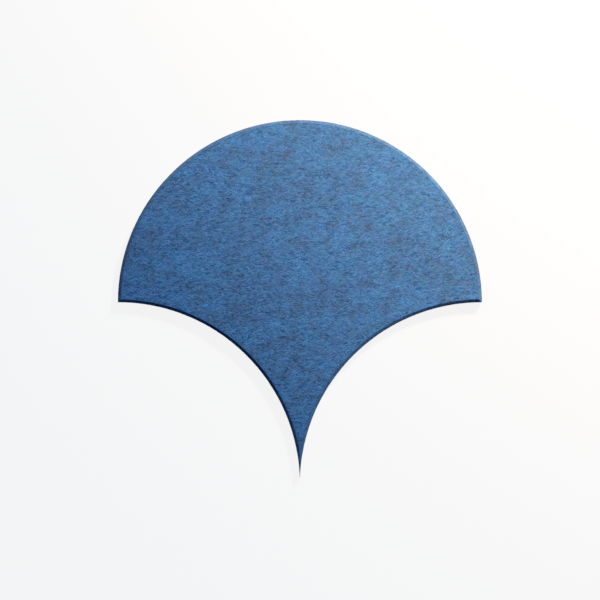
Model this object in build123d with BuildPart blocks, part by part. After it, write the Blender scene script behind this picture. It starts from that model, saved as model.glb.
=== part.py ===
"""Fan-shaped wall tile of pressed polyester felt, cut from one sheet, in millimetres.

The tile lies on its back. The back, which is glued to the wall, is at Z = 0, and the front looks up along +Z.
The origin is on the back, at the centre of the crown's arc. The crown is towards +Y and the tail towards -Y.
"""

import os
from math import sqrt

from build123d import *

# Driving dimensions
crown_radius = 150.0  # half the tile's width
thickness = 12.0  # of the felt sheet
bevel = 2.4  # width and depth of the 45 degree bevel round the front
tail_width = 0.2  # what the knife leaves between the flanks at the very end of the tail

# The crown of the tile in the next row sits in each flank, so both arcs have one radius.
flank_radius = crown_radius
flank_centres = [(-crown_radius, -flank_radius), (crown_radius, -flank_radius)]

# The flanks run tangent to each other at the tail, and the cut ends where they are tail_width apart.
flank_reach = crown_radius - tail_width / 2
tail_end = -flank_radius + sqrt(flank_radius**2 - flank_reach**2)


def bevel_triangle(radius, outwards):
    """Corners of the section that a bevel cutter turns about its arc's axis, as (radius, height).

    The sloping side crosses the tile's wall one bevel below the front, and the front one bevel inside the felt.
    outwards is 1 where the felt lies outside the arc and -1 where it lies inside. The triangle reaches one bevel
    past the felt at each end.
    """
    wall_side = radius - outwards * bevel
    felt_side = radius + outwards * 2 * bevel
    top = thickness + bevel
    return (wall_side, thickness - 2 * bevel), (felt_side, top), (wall_side, top)


with BuildPart() as felt_tile:
    # The fan: a disc and the square below its diameter, less the two discs of the neighbouring crowns
    with BuildSketch():
        Circle(crown_radius)
        Rectangle(2 * crown_radius, flank_radius, align=(Align.CENTER, Align.MAX))
        with Locations(*flank_centres):
            Circle(flank_radius, mode=Mode.SUBTRACT)
        with Locations((0, tail_end)):
            Rectangle(2 * crown_radius, flank_radius, align=(Align.CENTER, Align.MAX), mode=Mode.SUBTRACT)
    extrude(amount=thickness)

    # The bevel along the crown
    with BuildSketch(Plane.XZ):
        Polygon(*bevel_triangle(crown_radius, outwards=-1), align=None)
    revolve(axis=Axis.Z, mode=Mode.SUBTRACT)

    # The bevels along the flanks, which meet in a falling ridge over the tail
    for x, y in flank_centres:
        with BuildSketch(Plane(origin=(x, y, 0), x_dir=(1, 0, 0), z_dir=(0, -1, 0))):
            Polygon(*bevel_triangle(flank_radius, outwards=1), align=None)
        revolve(axis=Axis((x, y, 0), (0, 0, 1)), mode=Mode.SUBTRACT)

felt_tile.part.label = "felt_tile"

os.makedirs("parts", exist_ok=True)
export_step(felt_tile.part, "parts/felt_tile.step")
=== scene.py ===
"""Looks of the fan-shaped felt wall tile: a felt board with matted relief, and fibres that lie on it.

Lengths are in millimetres until a mesh is made, and Blender's are in metres. The tile lies on its back on
the floor, with the crown towards +Y, and the camera looks down on it.
"""

from math import atan2, cos, degrees, radians, sin, sqrt

import bpy
import numpy as np
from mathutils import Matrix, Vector
from mathutils.geometry import delaunay_2d_cdt


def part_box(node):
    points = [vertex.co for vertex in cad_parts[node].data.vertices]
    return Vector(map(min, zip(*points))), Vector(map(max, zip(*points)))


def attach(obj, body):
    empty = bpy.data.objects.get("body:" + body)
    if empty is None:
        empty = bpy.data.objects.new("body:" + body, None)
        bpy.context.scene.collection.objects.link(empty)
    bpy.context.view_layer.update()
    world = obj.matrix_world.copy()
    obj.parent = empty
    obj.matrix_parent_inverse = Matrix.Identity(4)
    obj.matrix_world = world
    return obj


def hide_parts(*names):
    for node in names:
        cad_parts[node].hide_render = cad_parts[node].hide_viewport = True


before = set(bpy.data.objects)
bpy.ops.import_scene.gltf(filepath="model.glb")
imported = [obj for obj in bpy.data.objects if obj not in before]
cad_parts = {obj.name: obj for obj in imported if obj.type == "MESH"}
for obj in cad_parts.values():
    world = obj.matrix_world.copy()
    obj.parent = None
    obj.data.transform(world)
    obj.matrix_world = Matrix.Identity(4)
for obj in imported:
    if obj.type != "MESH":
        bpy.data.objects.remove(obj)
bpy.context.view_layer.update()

MM = 0.001
UP = np.array((0.0, 0.0, 1.0))

# The tile's own sizes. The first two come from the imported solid, and the others are those of its source.
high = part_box("felt_tile")[1]
RADIUS = high.x / MM  # of the crown and of both flanks
THICK = high.z / MM
BEVEL = 2.4
SHOULDER = THICK - BEVEL  # height of the bevel's lower edge
TAIL_HALF = 0.1  # half the width of the cut end of the tail

# The mesh of the board: the spacing of its points, how many lie along each arc, and the rows on the bevel
FACE_STEP = 1.25
BACK_STEP = 2.4
WALL_STEP = 0.8
CROWN_COUNT = 500
FLANK_COUNT = 244
BEVEL_ROWS = (0.8, 1.6)
STRAND_POINTS = 6  # along each strand on the front and the back

# Colours of the fibres, as linear red, green and blue
DEEP = (0.012, 0.06, 0.165, 1)
NAVY = (0.054, 0.15, 0.319, 1)
BLUE = (0.076, 0.188, 0.376, 1)
AZURE = (0.091, 0.212, 0.413, 1)
PALE = (0.114, 0.25, 0.468, 1)

# What the mottle and the rare flecks do to the colour below them
AS_IS = (1, 1, 1, 1)
WIDE_GREY = (0.985, 0.90, 0.89, 1)
WIDE_AZURE = (1.01, 1.06, 1.07, 1)
BATCH_GREY = (0.98, 0.74, 0.69, 1)
BATCH_AZURE = (1.0, 1.17, 1.20, 1)
VIOLET_CAST = (1.025, 0.955, 1.02, 1)
GREEN_CAST = (0.975, 1.045, 0.98, 1)
BROWN_FLECK = (1.0, 0.78, 0.72, 1)
AZURE_FLECK = (0.95, 1.16, 1.22, 1)


def noise(x, y, seed):
    """A smooth random field from -1 to 1, whose features are about one unit across."""
    size = 256
    table = np.random.default_rng(seed).uniform(-1, 1, (size, size))
    left = np.floor(x).astype(int)
    below = np.floor(y).astype(int)
    across = x - left
    up = y - below
    across = across * across * (3 - 2 * across)
    up = up * up * (3 - 2 * up)
    x0 = left % size
    x1 = (left + 1) % size
    y0 = below % size
    y1 = (below + 1) % size
    lower = table[x0, y0] * (1 - across) + table[x1, y0] * across
    upper = table[x0, y1] * (1 - across) + table[x1, y1] * across
    return lower * (1 - up) + upper * up


def rim_distance(x, y):
    """How far a point is inside the tile's outline."""
    crown = RADIUS - np.hypot(x, y)
    right = np.hypot(x - RADIUS, y + RADIUS) - RADIUS
    left = np.hypot(x + RADIUS, y + RADIUS) - RADIUS
    return np.minimum(crown, np.minimum(right, left))


def top_height(x, y):
    """Height of the bevelled front before the felt's relief."""
    return SHOULDER + np.clip(rim_distance(x, y), 0, BEVEL)


def face_relief(x, y):
    """How far the matted fibres of the front stand above or below its mean surface."""
    along = x + 5.0 * noise(x / 22, y / 22, 1)
    across = y + 3.0 * noise(x / 16, y / 16, 2)
    locks = noise(along / 5.0, across / 1.6, 3)
    tufts = noise(along / 2.6, across / 1.2, 4)
    hills = noise(x / 14, y / 11, 5)
    return 0.08 * locks + 0.06 * tufts + 0.02 * hills - 0.15


def back_relief(x, y):
    """The back is pressed flatter, and only sinks below its own plane."""
    hills = noise(x / 9, y / 6, 6)
    locks = noise(x / 5, y / 2.8, 7)
    return 0.10 + 0.05 * hills + 0.05 * locks


def wall_relief(along, height):
    """The cut shows the felt's layers as shallow ribs that run round the tile."""
    ribs = noise(along / 9, height / 1.5, 8)
    cut = noise(along / 2.2, height / 1.1, 9)
    return 0.10 * ribs + 0.07 * cut - 0.08


def arc(centre, radius, start, end, count):
    """Points along an arc, with both ends. The angles are in degrees."""
    turn = np.radians(np.linspace(start, end, count + 1))
    return np.stack([centre[0] + radius * np.cos(turn), centre[1] + radius * np.sin(turn)], axis=1)


def outline(inset, tail_half):
    """The fan's outline moved inwards, and the places of its three corners in the list.

    The list runs anticlockwise from the right corner.
    """
    crown = RADIUS - inset
    flank = RADIUS + inset
    # Where the crown's circle crosses the right flank's, on both sides of the line between their centres
    apart = RADIUS * sqrt(2)
    on_line = (crown**2 - flank**2 + apart**2) / (2 * apart)
    off_line = sqrt(crown**2 - on_line**2)
    corner_x = (on_line + off_line) / sqrt(2)
    corner_y = (off_line - on_line) / sqrt(2)
    corner_turn = degrees(atan2(corner_y, corner_x))
    flank_start = degrees(atan2(corner_y + RADIUS, RADIUS - corner_x))
    tail_y = -RADIUS + sqrt(flank**2 - (RADIUS - tail_half) ** 2)
    flank_end = degrees(atan2(tail_y + RADIUS, RADIUS - tail_half))
    over = arc((0, 0), crown, corner_turn, 180 - corner_turn, CROWN_COUNT)
    down = arc((-RADIUS, -RADIUS), flank, flank_start, flank_end, FLANK_COUNT)
    back_up = down[::-1] * (-1, 1)
    # The ends that two arcs share are kept once.
    if tail_half > 0:
        back_up = np.concatenate([[(0, tail_y)], back_up])
    else:
        back_up = back_up[1:]
    points = np.concatenate([over, down[1:], back_up[:-1]])
    left_corner = CROWN_COUNT
    tail = CROWN_COUNT + FLANK_COUNT + (1 if tail_half > 0 else 0)
    return points, (0, left_corner, tail)


def hex_grid(step, inset):
    """Points of a triangular grid that lie further than inset inside the outline."""
    row = step * sqrt(3) / 2
    ys = np.arange(-RADIUS, RADIUS, row)
    xs = np.arange(-RADIUS, RADIUS, step)
    x = np.concatenate([xs + (i % 2) * step / 2 for i in range(len(ys))])
    y = np.repeat(ys, len(xs))
    inside = rim_distance(x, y) > inset
    return np.stack([x[inside], y[inside]], axis=1)


def ring_edges(first, count):
    """Edges that join a run of points in a ring."""
    return [(first + i, first + (i + 1) % count) for i in range(count)]


def triangulate(points, edges):
    """Triangles between the points that lie inside the edges' loops. The points keep their order."""
    found = delaunay_2d_cdt([Vector(p) for p in points], edges, [], 1, 1e-6)
    assert len(found[0]) == len(points)
    return np.array(found[2])


def new_mesh(name, points, triangles):
    """A mesh object from arrays, with its points in millimetres."""
    mesh = bpy.data.meshes.new(name)
    mesh.vertices.add(len(points))
    mesh.vertices.foreach_set("co", (points * MM).astype(np.float32).ravel())
    mesh.loops.add(triangles.size)
    mesh.loops.foreach_set("vertex_index", triangles.astype(np.int32).ravel())
    mesh.polygons.add(len(triangles))
    mesh.polygons.foreach_set("loop_start", np.arange(0, triangles.size, 3, dtype=np.int32))
    mesh.update(calc_edges=True)
    mesh.shade_smooth()
    made = bpy.data.objects.new(name, mesh)
    bpy.context.scene.collection.objects.link(made)
    return made


def felt_board():
    """The board itself: front with its bevel, cut walls and back, in one closed mesh."""
    grid_gap = 0.45  # between the bevel's edge and the grid inside it
    plain_end = 8  # length of the tail's end that has no relief on its walls
    fade = 20  # length over which the relief comes in
    rim, rim_marks = outline(0, TAIL_HALF)
    loops = [rim]
    marks = [rim_marks]
    for inset in BEVEL_ROWS + (BEVEL,):
        loop, loop_marks = outline(inset, 0)
        loops.append(loop)
        marks.append(loop_marks)
    edges = []
    starts = []
    first = 0
    for loop in loops:
        edges += ring_edges(first, len(loop))
        starts.append(first)
        first += len(loop)
    # The mitres at the corners, and the ridge over the tail
    for corner in range(3):
        for i in range(len(loops) - 1):
            edges.append((starts[i] + marks[i][corner], starts[i + 1] + marks[i + 1][corner]))
    plan = np.concatenate(loops + [hex_grid(FACE_STEP, BEVEL + grid_gap)])
    front_faces = triangulate(plan, edges)
    x, y = plan.T
    sunk = face_relief(x, y)
    # On the bevel the relief is half as deep, so that its edges stay crisp.
    depth = np.where(rim_distance(x, y) < BEVEL - 0.01, 0.5, 1.0)
    front = np.stack([x, y, top_height(x, y) + sunk * depth], axis=1)
    count = len(rim)

    # Walls, from the rim down to the back
    rows = int(round(SHOULDER / WALL_STEP))
    step_lengths = np.hypot(*(np.roll(rim, -1, axis=0) - rim).T)
    along = np.cumsum(step_lengths) - step_lengths
    outward = np.roll(rim, -1, axis=0) - np.roll(rim, 1, axis=0)
    outward = np.stack([outward[:, 1], -outward[:, 0]], axis=1)
    outward /= np.hypot(*outward.T)[:, None]
    # The tail is too thin for relief.
    thin = np.clip((rim[:, 1] + RADIUS - plain_end) / fade, 0, 1)
    walls = []
    for row in range(1, rows + 1):
        height = front[:count, 2] * (1 - row / rows)
        moved = wall_relief(along, height) * thin * (1 if row < rows else 0)
        walls.append(np.column_stack([rim + outward * moved[:, None], height]))
    ring = np.arange(count)
    after = np.roll(ring, -1)
    upper = ring
    wall_faces = []
    for row in range(rows):
        lower = len(front) + row * count + ring
        wall_faces.append(np.column_stack([upper, lower, lower[after]]))
        wall_faces.append(np.column_stack([upper, lower[after], upper[after]]))
        upper = lower
    wall_faces = np.concatenate(wall_faces)

    # Back
    inner = hex_grid(BACK_STEP, BACK_STEP * 0.6)
    back_plan = np.concatenate([rim, inner])
    back_faces = triangulate(back_plan, ring_edges(0, count))[:, ::-1]
    last_ring = len(front) + (rows - 1) * count
    back_points = np.column_stack([inner, back_relief(*inner.T)])
    back_faces = np.where(
        back_faces < count, back_faces + last_ring, back_faces - count + len(front) + rows * count
    )

    points = np.concatenate([front] + walls + [back_points])
    faces = np.concatenate([front_faces, wall_faces, back_faces])
    board = new_mesh("felt_board", points, faces)
    mesh = board.data
    for material in (felt_face(), felt_cut(), felt_back()):
        mesh.materials.append(material)
    rim_of_face = rim_distance(*plan.T)[front_faces].max(axis=1)
    on_bevel = rim_of_face < BEVEL + 0.01
    slots = np.concatenate(
        [np.where(on_bevel, 1, 0), np.full(len(wall_faces), 1), np.full(len(back_faces), 2)]
    )
    mesh.polygons.foreach_set("material_index", slots.astype(np.int32))

    # The edges of the bevel and of the back stay sharp.
    ring_of = np.zeros(len(points), dtype=int)
    ring_of[starts[0] : starts[0] + count] = 1
    ring_of[starts[-1] : starts[-1] + len(loops[-1])] = 2
    ring_of[last_ring : last_ring + count] = 3
    ends = np.zeros(len(mesh.edges) * 2, dtype=np.int32)
    mesh.edges.foreach_get("vertices", ends)
    ends = ring_of[ends.reshape(-1, 2)]
    sharp = (ends[:, 0] > 0) & (ends[:, 0] == ends[:, 1])
    marks = mesh.attributes.new("sharp_edge", "BOOLEAN", "EDGE")
    marks.data.foreach_set("value", sharp)
    return board


def unit(vectors):
    """The vectors, each one unit long."""
    return vectors / np.maximum(np.linalg.norm(vectors, axis=-1, keepdims=True), 1e-9)


def strands(name, paths, width, up, tints, dyes, material):
    """One mesh of closed spindles, three-sided, that follow the paths.

    tints gives each strand its shade, from 0 to 1. dyes gives its hue, from 0, grey, to 1, azure.
    """
    flatness = 0.45  # height of a strand as a share of its width
    roundness = 0.5  # how far its shading turns to the sides
    count, length = paths.shape[:2]
    run = unit(np.gradient(paths, axis=1))
    side = unit(np.cross(run, up))
    top = np.cross(side, run)
    share = np.linspace(0, 1, length)
    swell = np.sin(np.pi * share) ** 0.6
    half = (width[:, None] / 2 * swell)[..., None]
    corners = []
    normals = []
    for turn in (90, 210, 330):
        corners.append(paths + half * (cos(radians(turn)) * side + flatness * sin(radians(turn)) * top))
        normals.append(unit(roundness * cos(radians(turn)) * side + top))
    rings = np.stack(corners, axis=2)[:, 1:-1].reshape(count, -1, 3)
    points = np.concatenate([paths[:, :1], rings, paths[:, -1:]], axis=1)
    rings = np.stack(normals, axis=2)[:, 1:-1].reshape(count, -1, 3)
    normals = np.concatenate([top[:, :1], rings, top[:, -1:]], axis=1)
    per_strand = points.shape[1]
    # The faces of one strand, and where their corners are on the strand unrolled: along it and round it
    pattern = []
    unrolled = []
    last = per_strand - 1
    for k in range(3):
        n = (k + 1) % 3
        pattern.append((0, 1 + k, 1 + n))
        unrolled.append(((0, k + 0.5), (1, k), (1, k + 1)))
        for ring in range(1, length - 2):
            a = 3 * ring - 2
            b = a + 3
            pattern.append((a + k, b + n, a + n))
            unrolled.append(((ring, k), (ring + 1, k + 1), (ring, k + 1)))
            pattern.append((a + k, b + k, b + n))
            unrolled.append(((ring, k), (ring + 1, k), (ring + 1, k + 1)))
        pattern.append((last - 3 + n, last - 3 + k, last))
        unrolled.append(((length - 2, k + 1), (length - 2, k), (length - 1, k + 0.5)))
    each = np.arange(count)[:, None, None]
    faces = (each * per_strand + np.array(pattern)).reshape(-1, 3)
    made = new_mesh(name, points.reshape(-1, 3), faces)
    # Each strand has a cell of the map to itself, with a margin round it.
    margin = 0.12
    columns = int(np.ceil(sqrt(count)))
    unrolled = margin + (1 - 2 * margin) * np.array(unrolled).reshape(-1, 2) / (length - 1, 3)
    cells = np.stack([each % columns, each // columns], axis=-1).reshape(-1, 1, 2)
    places = (cells + unrolled) / columns
    laid = made.data.uv_layers.new(name="OFBake")
    laid.data.foreach_set("uv", places.astype(np.float32).ravel())
    # Matted fibres are shaded as low ribs, without dark sides.
    made.data.normals_split_custom_set_from_vertices(normals.reshape(-1, 3))
    for key, values in (("tint", tints), ("dye", dyes)):
        attribute = made.data.attributes.new(key, "FLOAT", "POINT")
        attribute.data.foreach_set("value", np.repeat(values, per_strand).astype(np.float32))
    made.data.materials.append(material)
    return made


def grain_turn(x, y):
    """Direction of the felt's grain, in radians from +X."""
    sway = radians(14)
    return sway * noise(x / 18, y / 10, 21) + sway * noise(x / 6, y / 4, 22)


def liveliness_and_painted_haze(x, y):
    """From -1, where the fibres are much alike, to 1, where dark and bright ones stand out.

    It falls from the lower left to the upper right, where the lamp is brightest, and so evens the fibres
    out there: a painted haze of light.
    """
    # Painted haze: the fibres grow more alike towards the lit upper right
    slope = (0.65 * x + 0.76 * y - 19) / RADIUS
    return 0.7 * noise(x / 14, y / 9, 23) + 0.6 * noise(x / 6, y / 3.5, 24) - slope


def scattered(rng, spacing):
    """Random places on the front, spread evenly: one in each cell of a grid."""
    steps = np.arange(-RADIUS, RADIUS, spacing)
    x = np.repeat(steps, len(steps)) + rng.uniform(0, spacing, len(steps) ** 2)
    y = np.tile(steps, len(steps)) + rng.uniform(0, spacing, len(steps) ** 2)
    kept = rng.permutation(np.flatnonzero(rim_distance(x, y) > BEVEL + 0.2))
    return x[kept], y[kept]


def curls(rng, spacing, per_lock, length, points):
    """Paths of strands that lie on the front in locks of a few each, and the lock of each strand."""
    # Each lock has a direction, a bend and a length, from which its strands stray a little.
    x, y = scattered(rng, spacing)
    turn = grain_turn(x, y) + rng.normal(0, radians(22), len(x))
    bend = rng.normal(0, 0.08, len(x))
    reach = length * np.exp(rng.normal(0, 0.35, len(x)))
    lock = np.repeat(np.arange(len(x)), per_lock)
    count = len(lock)
    turn = turn[lock] + rng.normal(0, radians(10), count)
    bend = bend[lock] + rng.normal(0, 0.04, count)
    reach = reach[lock] * rng.uniform(0.6, 1.1, count)
    aside = rng.normal(0, 0.4, count)
    ahead = rng.normal(0, length * 0.2, count)
    x = x[lock] + ahead * np.cos(turn) - aside * np.sin(turn)
    y = y[lock] + ahead * np.sin(turn) + aside * np.cos(turn)
    wave = rng.uniform(0.1, 0.8, count)
    phase = rng.uniform(0, 2 * np.pi, count)
    share = np.linspace(-0.5, 0.5, points)
    # A strand that would cross the bevel's edge is cut shorter, and then shorter again.
    for cut in range(4):
        # Each strand turns steadily along its length, and wavers about that.
        step = reach[:, None] * share
        waver = wave[:, None] * np.sin(1.4 * step + phase[:, None])
        heading = turn[:, None] + 2 * bend[:, None] * step + waver
        stride = (reach / (points - 1))[:, None]
        px = x[:, None] + np.cumsum(stride * np.cos(heading), axis=1) - (reach / 2 * np.cos(turn))[:, None]
        py = y[:, None] + np.cumsum(stride * np.sin(heading), axis=1) - (reach / 2 * np.sin(turn))[:, None]
        inside = rim_distance(px, py).min(axis=1) > BEVEL + 0.1
        reach = np.where(inside, reach, reach * 0.6)
    px = px[inside]
    py = py[inside]
    # The middle of a strand stands above the board, and its ends are sunk into it.
    sunk = 0.1
    rise = rng.uniform(0.06, 0.2, len(px))[:, None] * np.cos(np.pi * share)
    pz = top_height(px, py) + face_relief(px, py) + rise - sunk
    return np.stack([px, py, pz], axis=2), lock[inside]


def face_fibres(name, seed, material, spacing, per_lock, length, width, lean):
    """Fibres on the front.

    lean is below 0 where lively patches make them darker, and above 0 where they make them brighter.
    """
    rng = np.random.default_rng(seed)
    paths, lock = curls(rng, spacing, per_lock, length, STRAND_POINTS)
    middle = paths[:, STRAND_POINTS // 2]
    tints = rng.uniform(0, 0.8, lock.max() + 1)[lock] + rng.uniform(0, 0.2, len(lock))
    tints = np.clip(tints + lean * liveliness_and_painted_haze(middle[:, 0], middle[:, 1]), 0, 1)
    widths = width * rng.uniform(0.7, 1.3, len(paths))
    return strands(name, paths, widths, UP, tints, rng.uniform(0, 1, len(paths)), material)


class Rim:
    """The tile's wall unrolled: a place along the rim and a height give a point and its normal."""

    def __init__(self):
        rim = outline(0, TAIL_HALF)[0]
        rim = np.concatenate([rim, rim[:1]])
        steps = np.hypot(*np.diff(rim, axis=0).T)
        self.rim = rim
        self.places = np.concatenate([[0], np.cumsum(steps)])
        self.length = self.places[-1]

    def plan(self, along):
        along = along % self.length
        return np.stack([np.interp(along, self.places, self.rim[:, i]) for i in range(2)], axis=-1)

    def at(self, along, up):
        run = unit(self.plan(along + 0.5) - self.plan(along - 0.5))
        normal = np.stack([run[..., 1], -run[..., 0], np.zeros_like(up)], axis=-1)
        return np.concatenate([self.plan(along), up[..., None]], axis=-1), normal


def rim_fibres(name, seed, material, count):
    """Cut fibres on the walls. They lie in the felt's layers, so they run round the tile."""
    back_gap = 0.35
    bevel_gap = 0.15
    tail_gap = 24
    points = 5
    rng = np.random.default_rng(seed)
    rim = Rim()
    # Places are drawn on the wall and on the bevel's slope above it.
    slope = BEVEL * sqrt(2)
    along = rng.uniform(0, rim.length, count)
    up = rng.uniform(0.5, SHOULDER + slope - 0.3, count)
    reach = 4.0 * np.exp(rng.normal(0, 0.35, count))
    tilt = rng.normal(0, radians(11), count)
    share = np.linspace(-0.5, 0.5, points)
    step = reach[:, None] * share
    along = along[:, None] + step * np.cos(tilt)[:, None]
    up = up[:, None] + step * np.sin(tilt)[:, None] + rng.normal(0, 0.1, (count, points))
    # Strands that come near the back, the bevel or the thin end of the tail are left out.
    ok = (up.min(axis=1) > back_gap) & (up.max(axis=1) < SHOULDER - bevel_gap)
    place, normal = rim.at(along, up)
    ok &= place[..., 1].min(axis=1) > -RADIUS + tail_gap
    rise = rng.uniform(0.05, 0.16, count)[:, None] * np.cos(np.pi * share) - 0.08
    paths = (place + normal * rise[..., None])[ok]
    widths = 0.3 * rng.uniform(0.6, 1.3, len(paths))
    tints = rng.uniform(0, 1, len(paths))
    return strands(name, paths, widths, normal[ok], tints, rng.uniform(0, 1, len(paths)), material)


def back_fibres(name, seed, material, spacing):
    """Fibres pressed into the back, which stay above the floor."""
    lowest = 0.16
    rng = np.random.default_rng(seed)
    paths = curls(rng, spacing, 1, 6.0, STRAND_POINTS)[0]
    share = np.linspace(-0.5, 0.5, STRAND_POINTS)
    depth = back_relief(paths[..., 0], paths[..., 1])
    paths[..., 2] = np.maximum(depth - 0.12 * np.cos(np.pi * share) + 0.06, lowest)
    widths = 0.3 * rng.uniform(0.7, 1.1, len(paths))
    tints = rng.uniform(0, 1, len(paths))
    return strands(name, paths, widths, -UP, tints, rng.uniform(0, 1, len(paths)), material)


def node(tree, kind, inputs=None, **settings):
    """Adds a shader node. An input that is itself a socket gets linked, and any other is a value."""
    made = tree.nodes.new("ShaderNode" + kind)
    for key, value in settings.items():
        setattr(made, key, value)
    for key, value in (inputs or {}).items():
        if isinstance(value, bpy.types.NodeSocket):
            tree.links.new(value, made.inputs[key])
        else:
            made.inputs[key].default_value = value
    return made


def ramp(tree, factor, stops):
    """A colour ramp with the given (place, colour) stops."""
    made = node(tree, "ValToRGB", {"Fac": factor})
    bar = made.color_ramp.elements
    while len(bar) < len(stops):
        bar.new(0.5)
    for element, (place, colour) in zip(bar, stops):
        element.position = place
        element.color = colour
    return made.outputs["Color"]


def mix(tree, factor, first, second, blend="MIX"):
    """Two colours mixed."""
    made = node(tree, "Mix", {0: factor, 6: first, 7: second}, data_type="RGBA", blend_type=blend)
    return made.outputs[2]


def reckon(tree, operation, *values):
    """Result of a Math node."""
    return node(tree, "Math", dict(enumerate(values)), operation=operation).outputs[0]


def span(tree, value, low_in, high_in, low_out, high_out):
    """The value moved from one range to another, and held at its ends."""
    made = node(
        tree,
        "MapRange",
        {"Value": value, "From Min": low_in, "From Max": high_in, "To Min": low_out, "To Max": high_out},
    )
    return made.outputs["Result"]


def felt_shader(name):
    """A material with the finish that all the felt shares, its node tree, and its shader."""
    material = bpy.data.materials.new(name)
    material.use_nodes = True
    tree = material.node_tree
    shader = tree.nodes["Principled BSDF"]
    shader.inputs["Roughness"].default_value = 0.9
    shader.inputs["Specular IOR Level"].default_value = 0.0
    shader.inputs["Sheen Weight"].default_value = 0.1
    shader.inputs["Sheen Roughness"].default_value = 0.5
    shader.inputs["Sheen Tint"].default_value = (0.6, 0.75, 1.0, 1)
    return material, tree, shader


def patches(tree, place, scale, detail, roughness):
    """Soft noise about 0.5, whose widest patches are a little more than 1 / scale across."""
    made = node(
        tree,
        "TexNoise",
        {"Vector": place, "Scale": scale, "Detail": detail, "Roughness": roughness},
    )
    return made.outputs[0]


def mottle_place(tree):
    """Where the mottle is, on the tile itself. Its patches are drawn out a little along X."""
    place = node(tree, "TexCoord").outputs["Object"]
    return node(tree, "Mapping", {"Vector": place, "Scale": (0.7, 1.0, 1.0)}).outputs[0]


def dyed(tree, colour, dye):
    """The colour as the felt is mottled.

    The mottle goes from grey to azure, which leaves the red as it is, and from violet to green. dye is what
    each fibre adds to the first of these, from 0 to 1.
    """
    place = mottle_place(tree)
    wide = patches(tree, place, scale=25.0, detail=1.0, roughness=0.9)
    hue = ramp(tree, wide, [(0.25, WIDE_GREY), (0.5, AS_IS), (0.75, WIDE_AZURE)])
    colour = mix(tree, 1.0, colour, hue, "MULTIPLY")
    batch = patches(tree, place, scale=110.0, detail=3.0, roughness=0.6)
    batch = reckon(tree, "ADD", span(tree, dye, 0, 1, -0.02, 0.02), batch)
    hue = ramp(tree, batch, [(0.25, BATCH_GREY), (0.5, AS_IS), (0.75, BATCH_AZURE)])
    colour = mix(tree, 1.0, colour, hue, "MULTIPLY")
    other = patches(tree, place, scale=150.0, detail=3.0, roughness=0.5)
    cast = ramp(tree, other, [(0.3, VIOLET_CAST), (0.7, GREEN_CAST)])
    return mix(tree, 1.0, colour, cast, "MULTIPLY")


def flecked(tree, colour):
    """The colour with a few small flecks of brown and of clear azure."""
    fleck = patches(tree, mottle_place(tree), scale=190.0, detail=0.0, roughness=0.5)
    stops = [(0.14, BROWN_FLECK), (0.30, AS_IS), (0.70, AS_IS), (0.86, AZURE_FLECK)]
    return mix(tree, 1.0, colour, ramp(tree, fleck, stops), "MULTIPLY")


def drawn_out(tree, place, turn, stretch):
    """The place, turned by degrees, on which a pattern comes out longer by stretch."""
    made = node(
        tree,
        "Mapping",
        {"Vector": place, "Rotation": (0, 0, radians(turn)), "Scale": stretch},
        vector_type="TEXTURE",
    )
    return made.outputs[0]


def threads(tree, place, turn, stretch, scale):
    """Thin wavy lines, 1 along each line and 0 between them, drawn out along stretch's long axes."""
    line_width = 0.06
    wave = patches(tree, drawn_out(tree, place, turn, stretch), scale, detail=1.0, roughness=0.5)
    off = reckon(tree, "ABSOLUTE", reckon(tree, "SUBTRACT", wave, 0.5))
    return span(tree, off, 0.0, line_width, 1, 0)


def heather(tree, stretch, turns, fineness):
    """Colour and height of heathered felt.

    Its fibres are drawn out by stretch, lie in the directions of turns, and are thinner by fineness.
    """
    lock_scale = 1100.0 * fineness
    thread_strength = 0.35
    thread_height = 0.25
    sway = 0.0035  # metres
    place = node(tree, "TexCoord").outputs["Object"]
    drift = node(tree, "TexNoise", {"Vector": place, "Scale": 160.0, "Detail": 2.0}).outputs["Color"]
    drift = node(tree, "VectorMath", {0: drift, 1: (0.5, 0.5, 0.5)}, operation="SUBTRACT").outputs[0]
    drift = node(tree, "VectorMath", {0: drift, "Scale": sway}, operation="SCALE").outputs[0]
    bent = node(tree, "VectorMath", {0: place, 1: drift}, operation="ADD").outputs[0]
    laid = drawn_out(tree, bent, turns[0], stretch)
    lock = patches(tree, laid, lock_scale, detail=3.0, roughness=0.5)
    colour = ramp(tree, lock, [(0.32, DEEP), (0.50, NAVY), (0.68, BLUE)])
    height = lock
    # Single fibres, light and dark in turn
    for i, turn in enumerate(turns):
        line = threads(tree, bent, turn, stretch, (1300.0 + 230.0 * i) * fineness)
        shade = AZURE if i % 2 == 0 else DEEP
        colour = mix(tree, span(tree, line, 0, 1, 0, thread_strength), colour, shade)
        height = reckon(tree, "MULTIPLY_ADD", line, thread_height, height)
    return dyed(tree, colour, lock), height


def roughen(tree, shader, height, depth):
    """Bump and roughness from the height of the fibres."""
    bump = node(tree, "Bump", {"Strength": 0.6, "Distance": depth, "Height": height})
    tree.links.new(bump.outputs["Normal"], shader.inputs["Normal"])
    tree.links.new(span(tree, height, 0.3, 1.3, 1.0, 0.8), shader.inputs["Roughness"])


def felt_face():
    material, tree, shader = felt_shader("felt_face")
    colour, height = heather(tree, stretch=(7.0, 1.0, 1.0), turns=(8, -20, 33, 2), fineness=1.0)
    tree.links.new(flecked(tree, colour), shader.inputs["Base Color"])
    roughen(tree, shader, height, depth=0.0003)
    return material


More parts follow.
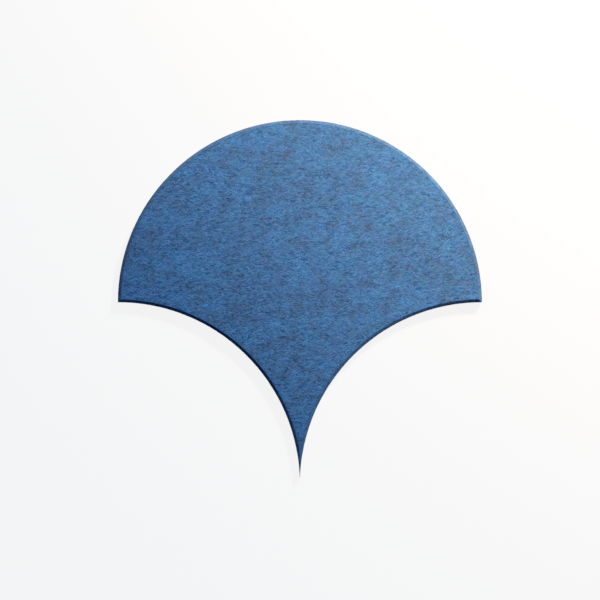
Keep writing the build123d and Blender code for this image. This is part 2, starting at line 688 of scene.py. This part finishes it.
def felt_cut():
    """The knife leaves the fibres' ends a little paler and greyer. Round the crown, whose bevel faces the
    lamp, they are painted paler and greyer still, a painted highlight, and towards the tail's end they are
    darker.
    """
    tail_end = (0.55, 0.40, 0.42, 1)
    flanks = (1.07, 1.0, 0.95, 1)
    # Painted highlight: the cut round the crown, which faces the lamp, is painted paler and greyer than
    # along the flanks
    crown = (1.37, 1.04, 0.92, 1)
    tail_y = -0.14  # metres
    crown_y = 0.002
    material, tree, shader = felt_shader("felt_cut")
    colour, height = heather(tree, stretch=(6.0, 6.0, 1.0), turns=(0, 30, 60), fineness=2.0)
    place = node(tree, "TexCoord").outputs["Object"]
    upward = node(tree, "SeparateXYZ", {0: place}).outputs["Y"]
    # Darker towards the tail's end, and a painted highlight at the crown's end of the ramp
    stops = [(0.0, tail_end), (0.1, flanks), (0.96, flanks), (1.0, crown)]
    tone_and_painted_highlight = ramp(tree, span(tree, upward, tail_y, crown_y, 0, 1), stops)
    colour = mix(tree, 1.0, colour, tone_and_painted_highlight, "MULTIPLY")
    tree.links.new(colour, shader.inputs["Base Color"])
    roughen(tree, shader, height, depth=0.0002)
    return material


def felt_back():
    material, tree, shader = felt_shader("felt_back")
    colour, height = heather(tree, stretch=(7.0, 1.0, 1.0), turns=(5, -40, 60, 15), fineness=1.0)
    tree.links.new(flecked(tree, colour), shader.inputs["Base Color"])
    roughen(tree, shader, height, depth=0.0002)
    return material


def fibre(name, stops):
    """Material of a set of strands. Each strand's own tint picks its place on the ramp."""
    material, tree, shader = felt_shader(name)
    tint = node(tree, "Attribute", attribute_name="tint").outputs["Fac"]
    dye = node(tree, "Attribute", attribute_name="dye").outputs["Fac"]
    colour = dyed(tree, ramp(tree, tint, stops), dye)
    tree.links.new(flecked(tree, colour), shader.inputs["Base Color"])
    return material


def dark_fibre():
    return fibre("dark_fibre", [(0.0, DEEP), (1.0, NAVY)])


def blue_fibre():
    return fibre("blue_fibre", [(0.0, NAVY), (1.0, BLUE)])


def azure_fibre():
    return fibre("azure_fibre", [(0.0, BLUE), (1.0, AZURE)])


def bright_fibre():
    return fibre("bright_fibre", [(0.0, AZURE), (1.0, PALE)])


def back_fibre():
    return fibre("back_fibre", [(0.0, NAVY), (1.0, BLUE)])


def cut_fibre():
    return fibre("cut_fibre", [(0.0, NAVY), (0.6, BLUE), (1.0, AZURE)])


def in_view(tree):
    """1 for rays that show a thing to the camera, also in gloss and through glass, and 0 for the rest."""
    path = node(tree, "LightPath").outputs
    direct = reckon(tree, "MAXIMUM", path["Is Camera Ray"], path["Is Glossy Ray"])
    return reckon(tree, "MAXIMUM", direct, path["Is Transmission Ray"])


def floor():
    """A pale floor that shows the camera an even tone, with a faint shadow."""
    gap = 0.0003  # metres between the floor and the tile's back
    bpy.ops.mesh.primitive_plane_add(size=6.0, location=(0, 0, -gap))
    made = bpy.context.object
    made.name = "floor"
    material = bpy.data.materials.new("pale_floor")
    material.use_nodes = True
    tree = material.node_tree
    tree.nodes.clear()
    glow = node(tree, "Emission", {"Color": (1, 1, 1, 1), "Strength": 0.885})
    shade = node(tree, "BsdfDiffuse", {"Color": (0.06, 0.06, 0.06, 1)})
    lifted = node(tree, "AddShader", {0: glow.outputs[0], 1: shade.outputs[0]})
    plain = node(tree, "BsdfDiffuse", {"Color": (0.2, 0.2, 0.2, 1)})
    both = node(tree, "MixShader", {0: in_view(tree), 1: plain.outputs[0], 2: lifted.outputs[0]})
    end = node(tree, "OutputMaterial")
    tree.links.new(both.outputs[0], end.inputs["Surface"])
    made.data.materials.append(material)


def sky():
    """Dim light all round, which the camera sees as pale."""
    world = bpy.data.worlds.new("studio")
    bpy.context.scene.world = world
    world.use_nodes = True
    tree = world.node_tree
    tree.nodes.clear()
    dim = node(tree, "Background", {"Color": (0.012, 0.065, 0.17, 1), "Strength": 1.0})
    pale = node(tree, "Background", {"Color": (1, 1, 1, 1), "Strength": 0.92})
    both = node(tree, "MixShader", {0: in_view(tree), 1: dim.outputs[0], 2: pale.outputs[0]})
    end = node(tree, "OutputWorld")
    tree.links.new(both.outputs[0], end.inputs["Surface"])


def key_lamp(azimuth, elevation, distance):
    """A spot lamp, so far off that its rays are nearly parallel.

    It is aimed well past the tile's upper right, so that the soft edge of its cone fades across the tile.
    """
    aim = Vector((0.77, 1.02, 0))
    warm = (1.12, 0.825, 0.585, 1)
    cool = (0.76, 1.035, 1.17, 1)
    # How far from the beam's axis it is cool and warm, as cosines
    edge = 0.74
    middle = 0.82
    lamp = bpy.data.lights.new("key", "SPOT")
    lamp.energy = 1080.0
    lamp.shadow_soft_size = 0.18
    lamp.spot_size = radians(95)
    lamp.spot_blend = 1.0
    # The beam is warmest in the middle and cooler towards its edge.
    lamp.use_nodes = True
    tree = lamp.node_tree
    beam = node(tree, "TexCoord").outputs["Normal"]
    inward = reckon(tree, "ABSOLUTE", node(tree, "SeparateXYZ", {0: beam}).outputs["Z"])
    tint = ramp(tree, span(tree, inward, edge, middle, 0, 1), [(0, cool), (1, warm)])
    tree.links.new(tint, tree.nodes["Emission"].inputs["Color"])
    made = bpy.data.objects.new("key", lamp)
    bpy.context.scene.collection.objects.link(made)
    flat = cos(radians(elevation))
    towards = Vector((flat * cos(radians(azimuth)), flat * sin(radians(azimuth)), sin(radians(elevation))))
    made.location = towards * distance
    made.rotation_mode = "QUATERNION"
    made.rotation_quaternion = (made.location - aim).to_track_quat("Z", "Y")


def camera():
    """Looks straight down through a long lens."""
    seen_width = 0.4945  # metres of the tile's plane across the picture
    centre = (0.0001, 0.0018)  # of the picture, on that plane
    lens = 200.0
    sensor = 36.0
    data = bpy.data.cameras.new("camera")
    data.lens = lens
    data.sensor_width = sensor
    made = bpy.data.objects.new("camera", data)
    made.location = (*centre, SHOULDER * MM + seen_width * lens / sensor)
    bpy.context.scene.collection.objects.link(made)
    bpy.context.scene.camera = made


board = felt_board()
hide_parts("felt_tile")
pieces = [
    board,
    face_fibres(
        "fibres_dark", 101, dark_fibre(), spacing=2.6, per_lock=1, length=5.2, width=0.74, lean=-0.7
    ),
    face_fibres(
        "fibres_blue", 102, blue_fibre(), spacing=4.05, per_lock=3, length=5.4, width=0.74, lean=0
    ),
    face_fibres(
        "fibres_azure", 103, azure_fibre(), spacing=3.3, per_lock=2, length=5.4, width=0.74, lean=0
    ),
    face_fibres(
        "fibres_bright", 104, bright_fibre(), spacing=3.0, per_lock=1, length=5.2, width=0.68, lean=0.5
    ),
    rim_fibres("fibres_cut", 105, cut_fibre(), count=4200),
    back_fibres("fibres_back", 106, back_fibre(), spacing=4.4),
]
for piece in pieces:
    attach(piece, "root")

floor()
sky()
key_lamp(azimuth=60, elevation=40, distance=2.0)
camera()
bpy.context.scene.view_settings.view_transform = "Standard"
# The denoiser would smooth the fibres away.
bpy.context.scene.cycles.use_denoising = False

bpy.context.view_layer.update()
